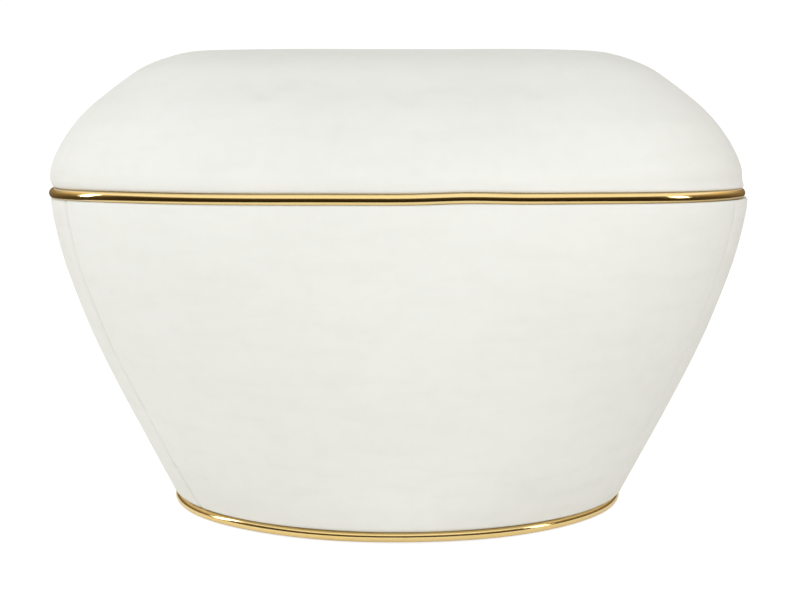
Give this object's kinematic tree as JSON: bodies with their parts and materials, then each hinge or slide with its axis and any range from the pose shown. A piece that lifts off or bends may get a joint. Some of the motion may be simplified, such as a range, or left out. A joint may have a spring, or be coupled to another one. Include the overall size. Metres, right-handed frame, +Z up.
{
  "type": "upholstered leather pouf",
  "caption": "Ivory leather pouf with a domed seat, a body tapering from a rounded square to a round base, and polished brass rings at the seat joint and at the floor.",
  "frame": {"origin": "on the floor at the middle of the base", "axes": "+Z up through the middle of the pouf; the front faces -Y; the left and right sides face -X and +X"},
  "size_m": [0.71, 0.71, 0.47],
  "materials": {
    "ivory_leather": "matte nubuck nap, ivory",
    "polished_brass": "polished and lacquered",
    "foam": "open-cell upholstery foam",
    "wadding": "soft polyester wadding",
    "hardboard": "smooth brown hardboard",
    "bending_plywood": "thin bending plywood, unfinished",
    "plywood": "birch plywood, unfinished",
    "stained_plinth": "plywood, stained black",
    "nylon": "black nylon, satin",
    "felt": "grey pressed felt",
    "zinc_steel": "bright zinc plated"
  },
  "bodies": {
    "root": {"access_disc": "hardboard", "base_board": "plywood", "base_hem_staples": "zinc_steel", "base_ring": "polished_brass", "base_ring_pins": "polished_brass", "bolt_washers": "zinc_steel", "cover_back": "ivory_leather", "cover_front": "ivory_leather", "cover_left": "ivory_leather", "cover_right": "ivory_leather", "foam_back": "foam", "foam_front": "foam", "foam_left": "foam", "foam_right": "foam", "glide_screws": "zinc_steel", "glides": "nylon", "mid_ring": "polished_brass", "mid_ring_dowel": "polished_brass", "mid_ring_tabs": "polished_brass", "plinth_disc": "stained_plinth", "plinth_screws": "zinc_steel", "rib_back": "plywood", "rib_back_left": "plywood", "rib_back_right": "plywood", "rib_front": "plywood", "rib_front_left": "plywood", "rib_front_right": "plywood", "rib_left": "plywood", "rib_right": "plywood", "rim_hem_staples": "zinc_steel", "seat_board": "plywood", "seat_bolts": "zinc_steel", "seat_cover": "ivory_leather", "seat_foam_firm": "foam", "seat_foam_soft": "foam", "seat_hem_staples": "zinc_steel", "seat_nuts": "zinc_steel", "seat_spacers": "felt", "seat_wadding": "wadding", "skin_back": "bending_plywood", "skin_front": "bending_plywood", "skin_left": "bending_plywood", "skin_right": "bending_plywood", "tab_screws": "polished_brass", "top_hoop": "plywood"}
  },
  "joints": []
}
